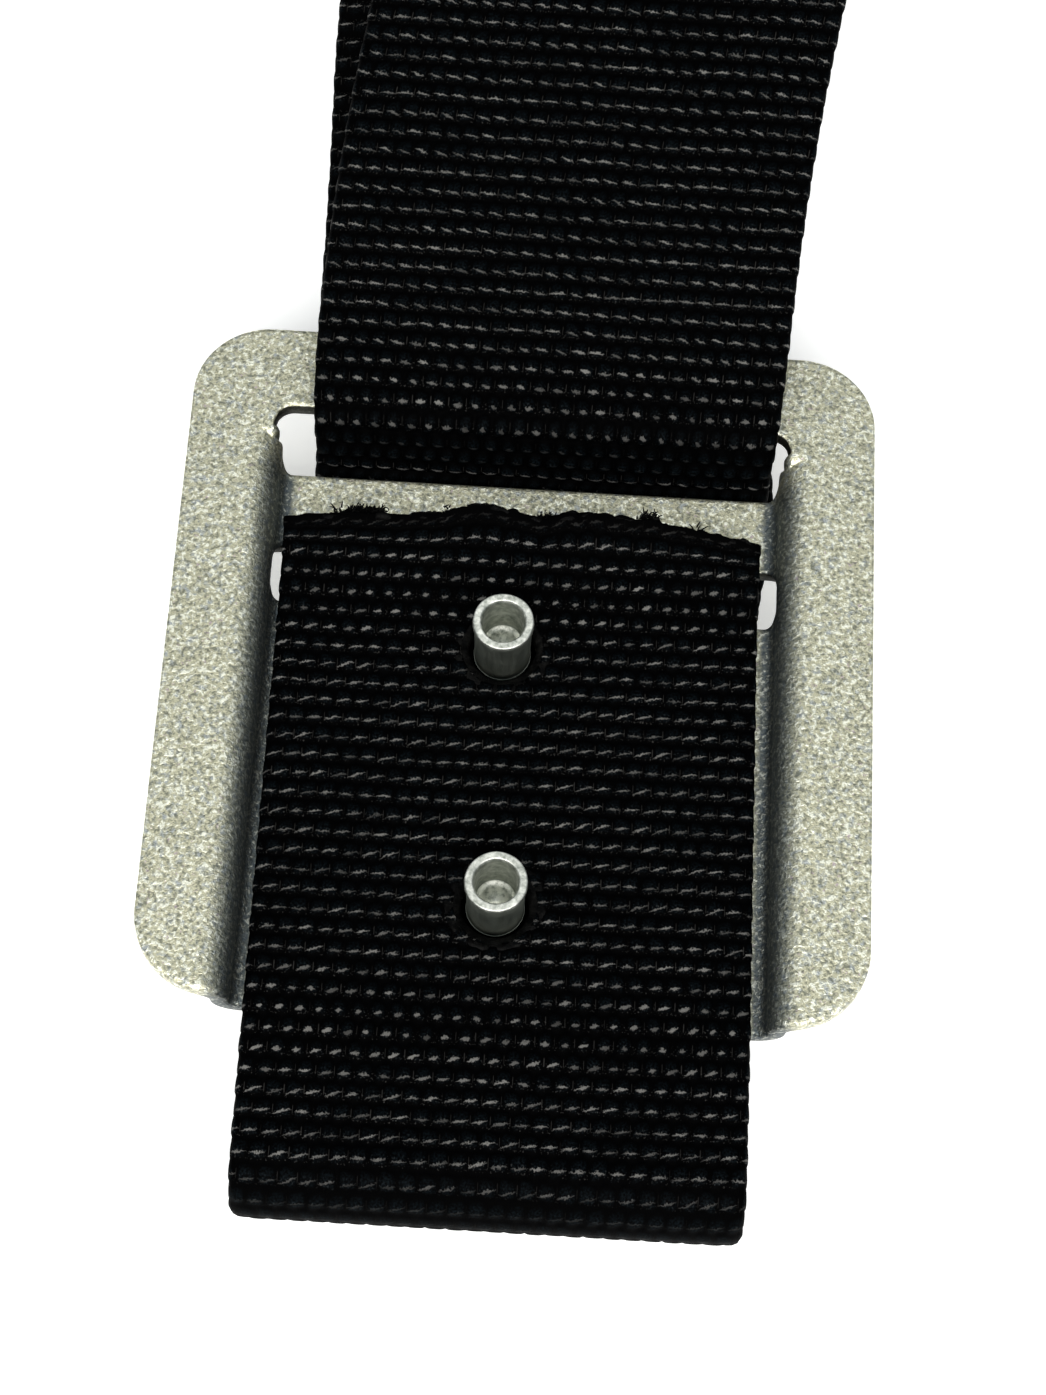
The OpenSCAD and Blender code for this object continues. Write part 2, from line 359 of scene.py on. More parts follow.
def weave(s, across, seed=3):
    """Height, about 0 in the grooves and 1 on the floats, for a length along the belt and a place across.

    Rows are counted along s and columns across it, with odd rows moved by half a column. In each cell the
    height is the product of two humps. Across, it is one minus a power of the distance from the middle, to
    the power 0.6. Along, it is a sine of a power of the distance, so it climbs steeply and falls slowly.
    Slant and size change a little from cell to cell.
    """
    across, s = np.broadcast_arrays(across, s)
    u, v = weave_place(s, across, seed)
    row = np.floor(v)
    odd = np.mod(row, 2)
    u = u + 0.5 * odd
    column = np.floor(u)
    fu, fv = u - column - 0.5, v - row
    odds = lattice(column, row, seed) - 0.5
    power = 3.4 - 1.9 * dotted(s)
    slant = 0.16 * np.sign(odd - 0.5) + 0.10 * odds + 0.10 * drift(across / 7, s / 9, seed + 3)
    fv = np.clip(fv + slant * fu, 0, 1)
    hump_u = 1 - np.clip(np.abs(2 * fu) * (1.02 + 0.06 * odds), 0, 1) ** power
    hump_v = np.sin(math.pi * np.clip(fv, 0, 1) ** (0.62 + 0.1 * odds)) ** 0.62
    return np.clip(hump_u, 0, 1) ** 0.6 * hump_v * (0.9 + 0.2 * odds)


print("relief over one cell:", np.round(weave(np.linspace(0, ROW_PITCH, 6), np.full(6, 0.9)), 2))


# %% [markdown]
# ## A strap laid on the line
# A strap's surface is a closed loop round its section, repeated at many stations along the line: the
# face, a rounded selvedge, the back and the other selvedge. The face takes its relief from the weave,
# and the back takes the same weave moved by a row. The stretches that show most get six to eight
# points a float, and the inside of the roll gets two, so no piece grows too heavy.

# %% Build one stretch of strap
RELIEF = 0.52
SELVEDGE = 0.9
EDGE_STEPS = 4
SHIFT = 1.3
SHIFT_GROWTH = 0.0018
SHIFT_FROM, SHIFT_RUN = 22, 62


def sideways(s):
    """How far the belt's middle lies to the side at a length s.

    The upper run drifts off as the square of its distance past the slot, the roll keeps that shift, and
    the return run comes back, with a small bulge to the side under the slots.
    """
    y = np.interp(s, line_s, line[:, 0])
    out = SHIFT + SHIFT_GROWTH * np.clip(y - SHIFT_FROM, 0, SHIFT_RUN) ** 2
    rise = ramp(s, s_slot - 14, s_slot)
    back = 1 - ramp(s, s_return - 20, s_return + 52)
    held = SHIFT + SHIFT_GROWTH * SHIFT_RUN**2
    bulge = 1.9 * np.exp(-(((y - 25) / 11) ** 2)) * (s < s_end - 60)
    tail_shift = 0.45 * ramp(s, s_tip, s_end)
    return np.where(s < s_roll, rise * out, held * back + (bulge - tail_shift))


def belt_width(s):
    """The strap's width: less by a bell curve about the slot, where it is squeezed through."""
    return BELT_W - 1.2 * np.exp(-(((s - s_slot - 2) / 9) ** 2))


def strap_grid(s, across_face, across_back, melt=None):
    """Points, relief and UV of a strap: one loop of points round the section for each length in s.

    A point is the line's point at s plus a height times the line's left normal. The height is half the
    thickness, less the relief's depth, and each selvedge is half an ellipse. X is the place across, scaled
    by the strap's width there, plus the shift to the side. The relief is shallower near the selvedges and
    the fold, and fades out with melt.
    """
    y, z = np.interp(s, line_s, line[:, 0]), np.interp(s, line_s, line[:, 1])
    ahead, behind = np.clip(s + 0.6, 0, line_s[-1]), np.clip(s - 0.6, 0, line_s[-1])
    ty = np.interp(ahead, line_s, line[:, 0]) - np.interp(behind, line_s, line[:, 0])
    tz = np.interp(ahead, line_s, line[:, 1]) - np.interp(behind, line_s, line[:, 1])
    size = np.hypot(ty, tz)
    ny, nz = -tz / size, ty / size
    half = BELT_W / 2
    inner = half - SELVEDGE
    face = np.linspace(-inner, inner, across_face)
    back = np.linspace(inner, -inner, across_back)
    bend = np.linspace(0, math.pi, EDGE_STEPS + 2)[1:-1]
    selvedge_x, selvedge_h = inner + SELVEDGE * np.sin(bend), np.cos(bend)
    across = np.r_[face, selvedge_x, back, -selvedge_x]
    side = np.r_[np.ones(across_face), selvedge_h, -np.ones(across_back), -selvedge_h]
    row = np.where(side >= 0, 0.0, ROW_PITCH)
    relief = weave(s[:, None] + row[None, :], across[None, :])
    flat = np.abs(side)[None, :]
    at_selvedge = 1 - 0.45 * ramp(np.abs(across), half - 1.6, half)[None, :]
    at_fold = 0.7 * np.exp(-(((s - s_tip) / 6.5) ** 2))
    depth = RELIEF * (1 - relief) * np.clip(flat * 1.2, 0.35, 1) * at_selvedge
    depth = depth * (1 - at_fold)[:, None]
    if melt is not None:
        depth = depth * (1 - melt[:, None])
    thin = 1 - 0.16 * ramp(np.abs(across), half - 2.4, half)[None, :]
    height = np.sign(side)[None, :] * (BELT_T / 2 * flat * thin - depth * flat)
    edge_in = (1 - relief) * 0.14 * ramp(np.abs(across), inner - 0.2, half)[None, :]
    x = across[None, :] * (belt_width(s) / BELT_W)[:, None] + sideways(s)[:, None]
    x = x - np.sign(across)[None, :] * edge_in
    points = np.stack([x, y[:, None] + ny[:, None] * height, z[:, None] + nz[:, None] * height], -1)
    uv = np.stack(weave_place(*np.broadcast_arrays(s[:, None] + row[None, :], across[None, :])), -1)
    return points, relief, uv


def close_strap(name, points, relief, uv, drop=None):
    """One closed shell from a strap grid: wrapped round its section, with a fan over each end."""
    rows, columns = relief.shape
    quads = grid_faces(rows, columns, wrap=True)[:, ::-1]
    flat = points.reshape(-1, 3)
    ends = np.array([points[0].mean(0), points[-1].mean(0)])
    count = rows * columns
    first = ring_cap(np.arange(columns), count)
    last = ring_cap(count - columns + np.arange(columns), count + 1, flip=True)
    if drop is not None:
        flat, quads = drop(flat, quads)
    all_points = np.vstack([flat, ends])
    all_uv = np.vstack([uv.reshape(-1, 2), uv[0, :1], uv[-1, :1]])
    dots = np.repeat(dotted(uv[:, 0, 1] * ROW_PITCH), columns)
    # How strong the painted highlight is at each station, kept on every point
    painted_sheen = np.repeat(painted_sheen_strength(uv[:, 0, 1] * ROW_PITCH), columns)
    kept = {"relief": np.r_[relief.ravel(), 0, 0], "dots": np.r_[dots, 0, 0], "painted_sheen": np.r_[painted_sheen, 0, 0]}
    return mesh_object(name, all_points, quads, [first, last], all_uv, kept)


def strap(name, start, end, per_row, per_float, back_points):
    """A stretch of strap from one length to another, with a set fineness."""
    stations = max(3, round((end - start) / ROW_PITCH * per_row) + 1)
    s = np.linspace(start, end, stations)
    return close_strap(name, *strap_grid(s, int(COLUMNS * per_float) + 1, back_points))


# %% Lay the stretches between the front end and the near fold
front_strap = strap("webbing_front_end", 0, s_slot, 5, 5, 105)
upper_strap = strap("webbing_upper_run", s_slot, s_view, 8, 8, 53)
outer_strap = strap("webbing_roll_outer", s_view, s_turned, 6, 5, 27)
core_strap = strap("webbing_roll_core", s_turned, s_return, 2, 2, 27)
return_strap = strap("webbing_return_run", s_return, s_under, 5, 5, 53)
fold_strap = strap("webbing_near_fold", s_under, s_over, 7, 6.5, 170)

# %% [markdown]
# ## The tail, its cut end and its two holes
# The tail is cut with a hot knife, so its end is a wavy melted lip, and its two holes are burnt
# through, which leaves a dark collar in each. The strap grid is as before, with three changes: its last
# stations follow the wavy cut, the relief melts away there, and faces inside each hole are left out
# while the points round the gap are moved onto a true circle. Face and back have equal columns, and
# a face is left out by its middle halfway between the two, so the gaps match and a wall joins them.

# %% The cut line and the holes
HOLE_R = 4.2
HOLE_OFFSET = [0, 0.3]
stud_places = {name: ((low + high) / 2)[:2] for name, (low, high) in stud_boxes.items()}
hole_places = np.array([stud_places[name] - HOLE_OFFSET for name in ("upper_stud", "lower_stud")])

face_columns = int(COLUMNS * 6.5) + 1
tail_columns = 2 * face_columns + 2 * EDGE_STEPS
tail_stations = round((s_end - s_over) / ROW_PITCH * 7) + 1

CUT_X = [-25, -22.5, -17.8, -12.7, -9.8, -7.5, -4.5, -1.5, 1.7, 3.5, 6, 9, 13.4, 18.6, 24.7]
CUT_BACK = 0.35
CUT_Y = [-1.0, -0.75, -0.15, -0.1, -0.03, 0.85, 1.25, 1.05, 0.0, 0.75, 1.05, 0.95, 0.55, -0.25, -1.15]


def cut_line(x):
    """How far the cut stands past its middle line: a line through a few points, with two finer drifts."""
    broad = sum(np.interp(x + shift, CUT_X, CUT_Y) for shift in (-0.8, -0.3, 0.3, 0.8)) / 4
    return broad - CUT_BACK + 0.16 * drift(x / 1.1, x * 0 + 2, 21) + 0.10 * drift(x / 0.45, x * 0 + 5, 22)


def cut_rise(x):
    """How far the cut end is raised: 0.55 of the cut line, kept between two limits, and a slow drift."""
    return 0.55 * np.clip(cut_line(x), -0.2, 1) + 0.25 * drift(x / 5, x * 0 + 1, 8)


def punch(points, quads):
    """Leaves out the faces inside the holes, rounds each gap to a circle and walls it from face to back.

    A face counts as inside by its middle, taken halfway between the strap's two sides, so that both sides
    lose the same faces even where the strap slopes.
    """
    pair = mirror_column(np.arange(tail_stations * tail_columns))
    halfway = (points[: len(pair), :2] + points[np.clip(pair, 0, len(pair) - 1), :2]) / 2
    for centre in hole_places:
        away = points[:, :2] - centre
        radius = np.hypot(*away.T)
        middle = halfway[quads].mean(1)
        gone = np.hypot(*(middle - centre).T) < HOLE_R
        rim = np.intersect1d(quads[gone].ravel(), quads[~gone].ravel())
        points[rim, :2] = centre + away[rim] * (HOLE_R / radius[rim])[:, None]
        edges = np.vstack([quads[gone][:, [k, (k + 1) % 4]] for k in range(4)])
        kept = quads[~gone]
        lines = {tuple(e) for e in np.vstack([kept[:, [(k + 1) % 4, k]] for k in range(4)]).tolist()}
        border = np.array([e for e in edges.tolist() if tuple(e) in lines])
        quads = np.vstack([kept, wall_between(border)])
    return points, quads


def wall_between(border):
    """Quads that join each edge on the face's rim to the same edge on the back's rim."""
    face = border[(border % tail_columns < face_columns).all(1)]
    partner = mirror_column(face)
    return np.stack([face[:, 0], face[:, 1], partner[:, 1], partner[:, 0]], -1)


def mirror_column(index):
    """The point on the back that lies under a point on the face."""
    row, column = index // tail_columns, index % tail_columns
    return row * tail_columns + (2 * face_columns + EDGE_STEPS - 1 - column)


tail_s = np.linspace(s_over, s_end, tail_stations)
tail_melt = ramp(tail_s, s_end - 1.6, s_end - 0.3)
tail_points, tail_relief, tail_uv = strap_grid(tail_s, face_columns, face_columns, tail_melt)
near_end = ramp(tail_s, s_end - 5, s_end)[:, None]
tail_points[..., 1] += near_end * cut_line(tail_points[..., 0])
tail_points[..., 2] += near_end * cut_rise(tail_points[..., 0])
tail_relief = tail_relief * (1 - 0.7 * tail_melt[:, None])
tail_strap = close_strap("webbing_tail", tail_points, tail_relief, tail_uv, drop=punch)

# %% [markdown]
# ## Melted lip, burnt rims and stray filaments
# The hot knife leaves a bead along the cut, and each burnt hole has an uneven collar, about level with
# the webbing's face. The bead is a tube whose radius wanders: a circle carried along a path, where the
# path and the radius are arrays. A collar is a closed profile turned about its hole. A few hundred
# short filaments that escaped the heat stick out beside them.

# %% Tubes along a path
def tube(path, radius, sides, stretch):
    """Points of a tube: at each point of the path, a ring square to the path, stretched upwards."""
    ahead = np.gradient(path, axis=0)
    ahead /= np.linalg.norm(ahead, axis=1)[:, None]
    side = np.cross(ahead, [0, 0, 1.0])
    side /= np.maximum(np.linalg.norm(side, axis=1), 1e-6)[:, None]
    up = np.cross(side, ahead)
    angle = np.linspace(0, math.tau, sides, endpoint=False)
    ring = np.cos(angle)[None, :, None] * side[:, None] + stretch * np.sin(angle)[None, :, None] * up[:, None]
    return path[:, None] + ring * np.asarray(radius)[..., None]


def top_edge(x):
    """The middle of the webbing's cut edge at a distance across the belt."""
    return np.stack([x, TAIL_END_Y + cut_line(x), line[-1, 1] + cut_rise(x)], -1)


LIP_SIDES = 12
lip_x = np.linspace(-BELT_W / 2 + SELVEDGE, BELT_W / 2 - SELVEDGE, 260)
lip_sink = np.stack([lip_x * 0, lip_x * 0 - 0.5, -0.1 + 0.35 * drift(lip_x, lip_x * 0, 33)], -1)
lip_path = top_edge(lip_x) + lip_sink
lip_side = np.arange(LIP_SIDES)
lip_radius = 0.62 + 0.30 * drift(lip_x[:, None] / 0.9, lip_side[None, :] * 1.7, 34)
lip_radius = lip_radius + 0.16 * drift(lip_x[:, None] / 0.4, lip_side[None, :] * 0.9, 35)
lip_radius = lip_radius * (0.45 + 0.55 * ramp(BELT_W / 2 - np.abs(lip_x), 0.8, 2.4))[:, None]
lip_points = tube(lip_path, lip_radius, LIP_SIDES, 1.5)
lip_count = lip_points.shape[0] * LIP_SIDES
lip_all = np.vstack([lip_points.reshape(-1, 3), lip_path[0], lip_path[-1]])
lip_fans = [ring_cap(lip_side, lip_count, True), ring_cap(lip_count - LIP_SIDES + lip_side, lip_count + 1)]
melted_lip = mesh_object("melted_lip", lip_all, grid_faces(len(lip_x), LIP_SIDES, True), lip_fans)


RIM_SIDES = 120
RIM_INNER_R = 3.36


def burnt_rim(name, centre, seed):
    """A collar of melted nylon: a closed profile of radius and height turned about the hole, made uneven."""
    top, low = tail_high[2] - 0.12, tail_low[2] + 0.1
    outer = [[5.1, top - 0.4], [4.85, top - 0.12], [4.4, top - 0.15]]
    inner = [[4.0, top - 0.25], [3.6, top - 0.4], [3.4, top - 0.7]]
    under = [[3.42, low + 0.1], [3.8, low], [4.5, low + 0.2], [4.9, low + 0.6]]
    profile = np.array(outer + inner + under)
    angle = np.linspace(0, math.tau, RIM_SIDES, endpoint=False)
    c, s = np.cos(angle), np.sin(angle)
    step = np.arange(len(profile))[:, None] * 0.8
    wander = drift(c * 2.4 + 5 + step * 0.3, s * 2.4 + 5, seed)
    lumpy = drift(c * 8 + 20 + step, s * 8 + 20, seed + 1)
    uneven = 0.16 * np.clip(wander, -0.6, 1) + 0.10 * np.clip(lumpy, -0.5, 1)
    radius = np.maximum(profile[:, :1] + uneven, RIM_INNER_R)
    height = profile[:, 1:] + 0.10 * wander + 0.12 * lumpy
    points = np.stack([centre[0] + radius * c, centre[1] + radius * s, height + 0 * c], -1)
    quads = grid_faces(len(profile) + 1, RIM_SIDES, True)[:, ::-1] % (len(profile) * RIM_SIDES)
    return mesh_object(name, points.reshape(-1, 3), quads)


upper_rim = burnt_rim("upper_burnt_rim", hole_places[0], 41)
lower_rim = burnt_rim("lower_burnt_rim", hole_places[1], 47)


def filaments(name, places, counts, spread, length, seed, lift=0.35, thick=0.055):
    """Stray filaments: thin four-sided tubes that start near given places and curl at random.

    Each heads off at a random angle and climb, both of which change steadily along it, and it tapers.
    """
    rng = np.random.default_rng(seed)
    start = np.repeat(np.asarray(places, float), counts, 0)
    start = start + rng.normal(0, 1, start.shape) * np.array([spread, 0.25, 0.2])
    n = len(start)
    t = np.linspace(0, 1, 9)
    heading = rng.uniform(-1.1, 1.1, n)[:, None] + rng.normal(0, 1.5, n)[:, None] * t
    climb = lift * rng.uniform(0.2, 1.3, n)[:, None] + rng.normal(0, 0.9, n)[:, None] * t
    step = rng.uniform(0.5, 1.0, n)[:, None, None] * length / 8
    level = np.cos(climb)
    way = np.stack([np.sin(heading) * level, np.cos(heading) * level, np.sin(climb)], -1) * step
    path = start[:, None] + np.cumsum(way, 1)
    side = np.cross(way, [0, 0, 1.0])
    side /= np.maximum(np.linalg.norm(side, axis=2), 1e-6)[..., None]
    up = np.cross(side, way)
    up /= np.maximum(np.linalg.norm(up, axis=2), 1e-6)[..., None]
    angle = np.arange(4) * math.pi / 2
    size = (thick * (1 - 0.6 * t))[None, :, None, None]
    ring = np.cos(angle)[:, None] * side[:, :, None] + np.sin(angle)[:, None] * up[:, :, None]
    points = (path[:, :, None] + ring * size).reshape(-1, 3)
    one = grid_faces(len(t), 4, True)
    size_one = len(t) * 4
    caps = np.array([[3, 2, 1, 0], [size_one - 4, size_one - 3, size_one - 2, size_one - 1]])
    quads = (np.vstack([one, caps])[None] + (np.arange(n) * size_one)[:, None, None]).reshape(-1, 4)
    return mesh_object(name, points, quads)


fray_x = np.array([-19.6, -18.4, -17.2, -16.2, -15.4, -8.6, 1.4, 2.1, 12.2, 12.9, 17.5])
fray_count = np.array([20, 34, 50, 60, 44, 8, 22, 28, 30, 26, 6])
fray_start = top_edge(fray_x) + [0, -0.1, 0.5]
end_fray = filaments("cut_end_filaments", fray_start, fray_count, 0.34, 0.95, 5, thick=0.11)
rim_angle = np.radians([205, 225, 245, 150, 60, 300])
rim_start = np.stack([np.cos(rim_angle), np.sin(rim_angle), rim_angle * 0], -1) * (HOLE_R + 0.5)
rim_start = np.vstack([rim_start + [*place, tail_high[2] - 0.1] for place in hole_places[::-1]])
rim_count = np.array([7, 9, 7, 2, 2, 3, 2, 2, 2, 2, 2, 2])
rim_fray = filaments("hole_filaments", rim_start, rim_count, 0.4, 1.5, 9, lift=0.2)

# %% [markdown]
# ## The buckle plate
# The plate is one sheet of 2 mm steel with two slots, pressed so that a channel for the strap lies
# below two side flanges and a top bar. It could be cut from a block with booleans, but the rounded
# rims would then need bevels on slivers. Instead the sheet is a grid that already fits its outline:
# each column knows where the plate's edge and the slots' edges cross it, and the rows gather
# there. The faces inside the slots are left out, and the sheet's two skins close in a rounded rim.

# %% The plate's section and edges
CHANNEL_D = FLANGE_Z - FLOOR_Z
FOOT_X, WALL_RUN = 25.3, 4.2
SLOT_END_X, SLOT_R, CORNER_R = 27.3, 2.0, 8.0
TOP_Y = PLATE_L / 2
SLOT_EDGES = ((7.0, 13.4), (21.8, 27.7))
RIM_RUN = 1.2
BEND = 2 * math.atan(CHANNEL_D / WALL_RUN)
BEND_R = CHANNEL_D / (2 * (1 - math.cos(BEND)))


def wall_curve(w):
    """The channel wall, w going from 0 at its foot to 1 at the flange: an arc up and an equal arc back."""
    a = BEND * np.where(w < 0.5, 2 * w, 2 - 2 * w)
    x = np.where(w < 0.5, FOOT_X + BEND_R * np.sin(a), FOOT_X + WALL_RUN - BEND_R * np.sin(a))
    z = np.where(w < 0.5, BEND_R * (1 - np.cos(a)), CHANNEL_D - BEND_R * (1 - np.cos(a)))
    return x, z


def gathered(low, high, count):
    """Numbers from low to high that gather at both ends, spaced as a cosine."""
    return low + (high - low) * (1 - np.cos(np.linspace(0, math.pi, count))) / 2


def arc_short(inside, radius):
    """How much a rounded corner takes off an edge: the radius, less the circle's height at that place."""
    d = np.clip(radius - inside, 0, radius)
    return radius - np.sqrt(np.clip(radius**2 - d**2, 0, None))


# The columns of the right half: the floor, the wall in two stretches that meet at the slots' ends, and
# the flange, where they gather at the rim
lower_wall = np.linspace(0, 0.49, 60)
w_slot = float(np.interp(SLOT_END_X, wall_curve(lower_wall)[0], lower_wall))
slot_round = np.linspace(0, w_slot, 9)
wall_w = np.unique(np.round(np.r_[slot_round, np.linspace(w_slot, 1, 22)], 6))
floor_x = np.linspace(0, FOOT_X, 52)[:-1]
flange_x = np.linspace(FOOT_X + WALL_RUN, PLATE_W / 2 - RIM_RUN, 14)[1:-1]
flange_x = np.r_[flange_x, gathered(PLATE_W / 2 - RIM_RUN, PLATE_W / 2, 17)[1:]]
channel_x = np.r_[floor_x, wall_curve(wall_w)[0], flange_x]
channel_z = np.r_[floor_x * 0, wall_curve(wall_w)[1], flange_x * 0 + CHANNEL_D]
inner_run, outer_run = SLOT_END_X - FOOT_X, FOOT_X + WALL_RUN - SLOT_END_X
outer_w = inner_run + (wall_w - w_slot) / (1 - w_slot) * outer_run
spread_w = np.where(wall_w < w_slot, wall_w / w_slot * inner_run, outer_w)
bar_x = np.r_[floor_x, FOOT_X + spread_w, flange_x]
slot_column = len(floor_x) + int(np.argmin(np.abs(wall_w - w_slot)))


def mirrored(values, sign):
    """A half section carried over to the other side of the middle, without repeating the middle."""
    return np.r_[sign * values[:0:-1], values]


channel_x, bar_x = mirrored(channel_x, -1), mirrored(bar_x, -1)
channel_z = mirrored(channel_z, 1)
half_count = (len(channel_x) - 1) // 2
in_slot = np.abs(np.arange(len(channel_x)) - half_count) <= slot_column
print(f"channel {CHANNEL_D:.1f} mm deep, {len(channel_x)} columns across the plate")

# %% The plate's rows, column by column
edge_lines = [lambda x: -TOP_Y + arc_short(PLATE_W / 2 - np.abs(x), CORNER_R)]
for low_edge, high_edge in SLOT_EDGES:
    edge_lines.append(lambda x, e=low_edge: e + arc_short(SLOT_END_X - np.abs(x), SLOT_R))
    edge_lines.append(lambda x, e=high_edge: e - arc_short(SLOT_END_X - np.abs(x), SLOT_R))
edge_lines.append(lambda x: TOP_Y - arc_short(PLATE_W / 2 - np.abs(x), CORNER_R))
BAND_STEPS = (64, 12, 20, 14, 22)
LOWER_SLOT, UPPER_SLOT, TOP_BAR = 1, 3, 4

rows_y, rows_x, rows_z, row_bands = [], [], [], []
for band, steps in enumerate(BAND_STEPS):
    low = edge_lines[band](bar_x if band == TOP_BAR else channel_x)
    high = edge_lines[band + 1](bar_x if band >= UPPER_SLOT else channel_x)
    t = (1 - np.cos(np.linspace(0, math.pi, steps + 1))) / 2
    t = 0.55 * t + 0.45 * np.linspace(0, 1, steps + 1)
    t = t if band == TOP_BAR else t[:-1]
    share = {UPPER_SLOT: ramp(t, 0, 0.85), TOP_BAR: np.ones_like(t)}.get(band, np.zeros_like(t))[:, None]
    rows_y.append(low + (high - low) * t[:, None])
    rows_x.append(channel_x * (1 - share) + bar_x * share)
    rows_z.append(channel_z * (1 - share) + CHANNEL_D * share)
    row_bands += [band] * len(t)
sheet = np.stack([np.vstack(rows_x), np.vstack(rows_y), np.vstack(rows_z) + FLOOR_Z + SHEET_T / 2], -1)
row_bands = np.array(row_bands)
print("plate grid:", sheet.shape)


# %% Two skins and a rounded rim
def rounded_box_distance(x, y, middle, half_x, half_y, radius):
    """Distance to a rounded rectangle's edge, negative inside it."""
    qx, qy = np.abs(x) - (half_x - radius), np.abs(y - middle) - (half_y - radius)
    return np.hypot(np.maximum(qx, 0), np.maximum(qy, 0)) + np.minimum(np.maximum(qx, qy), 0) - radius


def plate_mesh(name, grid, rim=0.22):
    """Skins half a thickness each side of the sheet, drawn together near any edge along a quarter circle.

    The slope along the plate is the difference between neighbouring rows. At a slot's two edges it is taken
    from the metal's side alone, so that the slots' walls stand square to the sheet.
    """
    along = np.gradient(grid, axis=0)
    for band in (LOWER_SLOT, UPPER_SLOT):
        first, after = np.where(row_bands == band)[0][[0, -1]] + [0, 1]
        along[first, in_slot] = (grid[first] - grid[first - 1])[in_slot]
        along[after, in_slot] = (grid[after + 1] - grid[after])[in_slot]
    across = np.gradient(grid, axis=1)
    normal = np.cross(across, along)
    normal /= np.linalg.norm(normal, axis=2)[..., None]
    x, y = grid[..., 0], grid[..., 1]
    slots = [((a + b) / 2, SLOT_END_X, (b - a) / 2, SLOT_R) for a, b in SLOT_EDGES]
    from_slot = np.minimum(*(rounded_box_distance(x, y, *slot) for slot in slots))
    inside = np.minimum(-rounded_box_distance(x, y, 0, PLATE_W / 2, TOP_Y, CORNER_R), from_slot)
    short = np.clip(1 - np.clip(inside, 0, rim) / rim, 0, 1)
    thick = SHEET_T / 2 - rim * (1 - np.sqrt(1 - short**2))
    top, bottom = grid + normal * thick[..., None], grid - normal * thick[..., None]
    rows, columns = x.shape
    quads = grid_faces(rows, columns)
    cell_row, cell_column = quads[:, 0] // columns, quads[:, 0] % columns
    slot_row = np.isin(row_bands[cell_row], (LOWER_SLOT, UPPER_SLOT))
    quads = quads[~(slot_row & in_slot[cell_column] & in_slot[cell_column + 1])]
    edges = np.vstack([quads[:, [k, (k + 1) % 4]] for k in range(4)])
    key = edges[:, 0] * rows * columns + edges[:, 1]
    back = edges[:, 1] * rows * columns + edges[:, 0]
    border = edges[~np.isin(key, back)]
    count = rows * columns
    wall = np.stack([border[:, 1], border[:, 0], border[:, 0] + count, border[:, 1] + count], -1)
    points = np.vstack([top.reshape(-1, 3), bottom.reshape(-1, 3)])
    faces = np.vstack([quads, quads[:, ::-1] + count, wall])
    # Painted shade: the slots' cut edges are marked to be coloured nearly black
    cut = from_slot < 0.02
    on_wall = ramp(np.abs(x), FOOT_X - 0.8, FOOT_X) * (1 - ramp(np.abs(x), 27.2, 29.7))
    # Painted shade on the channel's bent walls, up to the upper slot: a mask for a dark blue-grey colour
    painted_wall_shade = on_wall * (1 - ramp(y, 20.5, 23.5))
    values = {"cut_edge_shade": np.tile(cut.ravel(), 2), "bend": np.tile(painted_wall_shade.ravel(), 2)}
    return mesh_object(name, points, faces, values=values)


plate = plate_mesh("plate_pressing", sheet)

# %% [markdown]
# ## Studs and washers
# The studs are semi-tubular rivets: a low domed head below the plate, a stout foot through it and a
# shank with a blind bore. A turned part is a profile spun about its axis, so each is an array of
# radius and height, rounded at its corners, times a circle.

# %% Turned parts
def rounded_profile(corners, steps=6):
    """A profile whose corners are rounded: each corner [radius, height, rounding] becomes a short curve."""
    c = np.array(corners, float)
    p, r = c[:, :2], c[:, 2]
    out = [p[:1]]
    u = np.linspace(0, 1, steps)[:, None]
    for k in range(1, len(p) - 1):
        before, after = p[k - 1] - p[k], p[k + 1] - p[k]
        lb, la = np.linalg.norm(before), np.linalg.norm(after)
        reach = min(r[k], lb * 0.49, la * 0.49)
        a, b = p[k] + before / lb * reach, p[k] + after / la * reach
        out.append((1 - u) ** 2 * a + 2 * u * (1 - u) * p[k] + u**2 * b)
    out.append(p[-1:])
    return np.vstack(out)


TURNED_SIDES = 72
WOBBLE = 0.03


def spin(name, profile, centre, seed):
    """A profile from axis to axis turned about a vertical line; the two poles are single points.

    The radius wanders by a smooth drift of the angle and height. Each point also gets how much paler it is
    painted: wear and a painted highlight on the rim, a painted reflection in the bore.
    """
    body = profile[1:-1]
    angle = np.linspace(0, math.tau, TURNED_SIDES, endpoint=False)
    turn_c, turn_s = np.cos(angle)[None, :] * 1.5, np.sin(angle)[None, :] * 1.5
    radius = body[:, :1] + WOBBLE * drift(turn_c + 3, body[:, 1:] / 3 + turn_s, seed)
    x, y = centre[0] + radius * np.cos(angle), centre[1] + radius * np.sin(angle)
    z = np.broadcast_to(body[:, 1:], x.shape)
    points = np.stack([x, y, z], -1).reshape(-1, 3)
    poles = np.array([[*centre, profile[0, 1]], [*centre, profile[-1, 1]]])
    count = len(points)
    ring = np.arange(TURNED_SIDES)
    fans = [ring_cap(ring, count, True), ring_cap(count - TURNED_SIDES + ring, count + 1)]
    quads = grid_faces(len(body), TURNED_SIDES, True)
    values = {"rim_wear_and_glint": np.r_[rim_wear_and_glint_at(points, centre, body[:, 1].max()), 0, 1]}
    return mesh_object(name, np.vstack([points, poles]), quads, fans, values=values)


